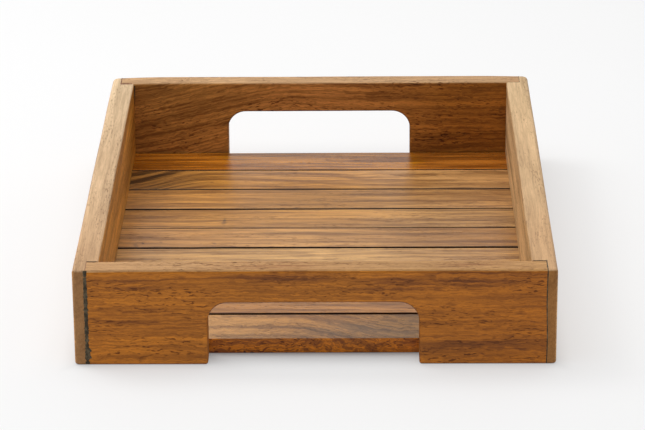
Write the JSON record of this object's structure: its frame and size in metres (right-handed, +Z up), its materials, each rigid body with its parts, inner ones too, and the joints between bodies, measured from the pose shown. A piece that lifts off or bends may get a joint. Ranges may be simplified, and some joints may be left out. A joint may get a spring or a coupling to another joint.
{
  "type": "serving tray",
  "caption": "Rectangular wooden serving tray with slotted hand holes in both end panels, lapped side boards and a slatted floor.",
  "frame": {"origin": "on the resting surface, under the middle of the tray's outline", "axes": "+X to the right across the width, +Y from the front panel to the back panel along the depth, +Z up"},
  "size_m": [0.305, 0.381, 0.0645],
  "materials": {
    "side_wood": "oiled hardwood, light tan on the edges, fine sanded",
    "panel_wood": "oiled hardwood, orange brown, fine short pores, satin",
    "slat_wood": "oiled hardwood, tan brown varying from slat to slat, satin",
    "screw_steel": "zinc plated",
    "nail_steel": "bright drawn steel",
    "joint_filler": "dark wood glue and filler squeezed out of the corner joints, dry and matt"
  },
  "bodies": {
    "root": {"back_left_nail_lower": "nail_steel", "back_left_nail_upper": "nail_steel", "back_panel": "panel_wood", "back_right_nail_lower": "nail_steel", "back_right_nail_upper": "nail_steel", "floor_slat_1": "slat_wood", "floor_slat_2": "slat_wood", "floor_slat_3": "slat_wood", "floor_slat_4": "slat_wood", "floor_slat_5": "slat_wood", "floor_slat_6": "slat_wood", "floor_slat_7": "slat_wood", "floor_slat_8": "slat_wood", "floor_slat_9": "slat_wood", "front_left_nail_lower": "nail_steel", "front_left_nail_upper": "nail_steel", "front_panel": "panel_wood", "front_right_nail_lower": "nail_steel", "front_right_nail_upper": "nail_steel", "left_side_board": "side_wood", "right_side_board": "side_wood", "slat_1_screw_left": "screw_steel", "slat_1_screw_right": "screw_steel", "slat_2_screw_left": "screw_steel", "slat_2_screw_right": "screw_steel", "slat_3_screw_left": "screw_steel", "slat_3_screw_right": "screw_steel", "slat_4_screw_left": "screw_steel", "slat_4_screw_right": "screw_steel", "slat_5_screw_left": "screw_steel", "slat_5_screw_right": "screw_steel", "slat_6_screw_left": "screw_steel", "slat_6_screw_right": "screw_steel", "slat_7_screw_left": "screw_steel", "slat_7_screw_right": "screw_steel", "slat_8_screw_left": "screw_steel", "slat_8_screw_right": "screw_steel", "slat_9_screw_left": "screw_steel", "slat_9_screw_right": "screw_steel"}
  },
  "joints": []
}
